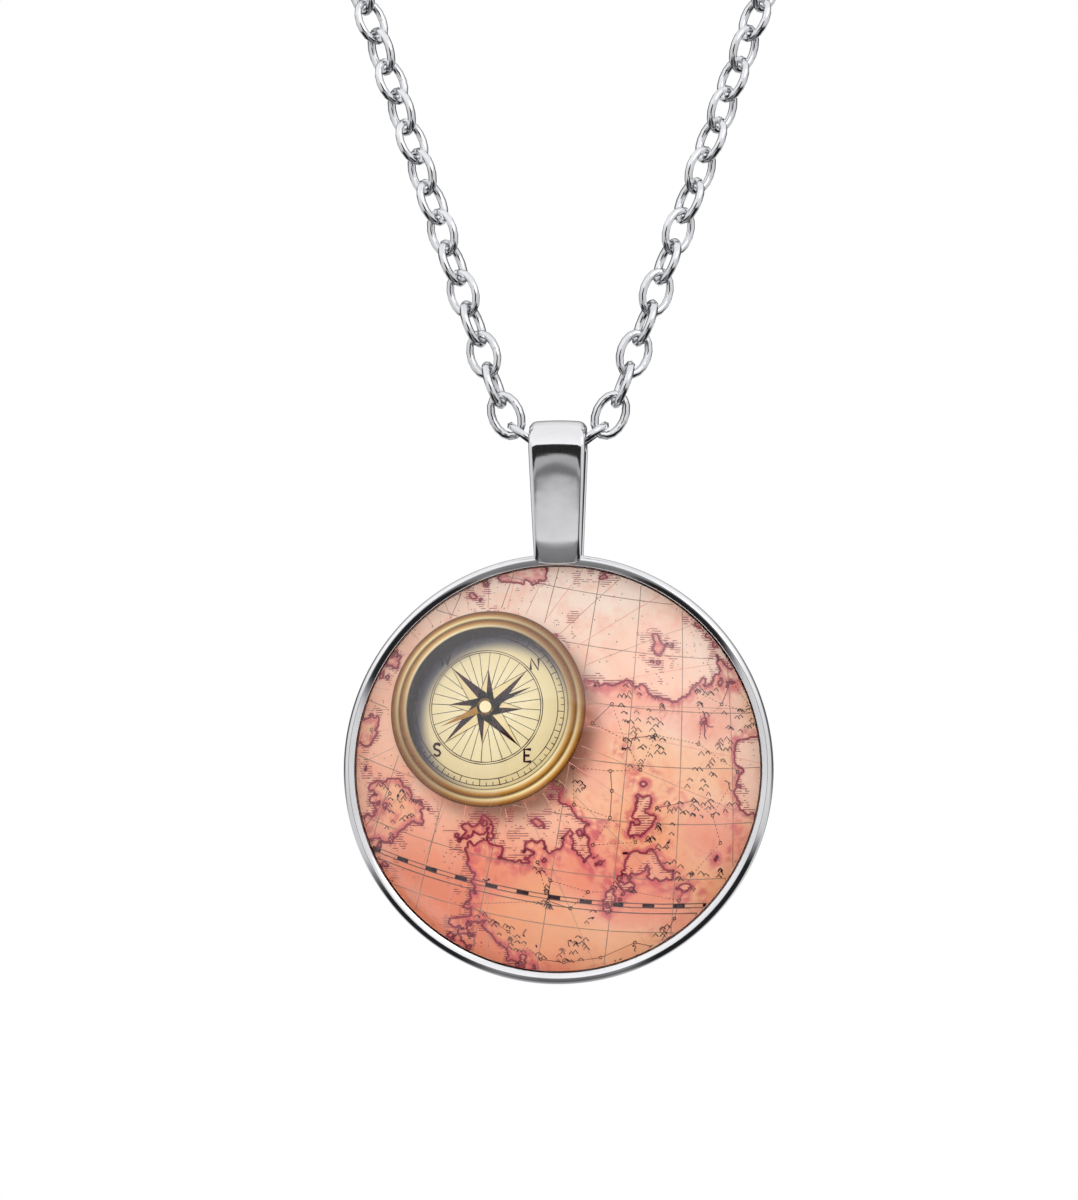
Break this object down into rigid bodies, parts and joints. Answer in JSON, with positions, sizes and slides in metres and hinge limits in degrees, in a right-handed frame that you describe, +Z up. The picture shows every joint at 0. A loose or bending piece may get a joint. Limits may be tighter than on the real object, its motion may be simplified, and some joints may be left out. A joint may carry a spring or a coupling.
{
  "type": "picture pendant necklace",
  "caption": "Round tray pendant with a printed picture under a domed glass, swinging by its strap bail on a closed chain of oval links.",
  "frame": {"origin": "middle of the closed clasp at the nape, where the chain sits on a neck", "axes": "+Z up, -Y the way the picture faces, +X to the right of someone who looks at the picture"},
  "size_m": [0.1086, 0.0993, 0.1983],
  "materials": {
    "cast_silver": "polished silver-tone casting",
    "chain_silver": "polished silver-tone wire",
    "printed_paper": "matt printed paper",
    "clear_glass": "clear polished glass"
  },
  "bodies": {
    "chain": {"chain_left": "chain_silver", "chain_right": "chain_silver", "clasp": "chain_silver"},
    "pendant": {"tray": "cast_silver", "picture": "printed_paper", "glass": "clear_glass"}
  },
  "joints": [
    {"name": "pendant_swing", "type": "hinge", "parent": "chain", "child": "pendant", "pos_m": [0, -0.09402, -0.1633], "axis": [1, 0, 0], "range_deg": [-90, 90]}
  ]
}
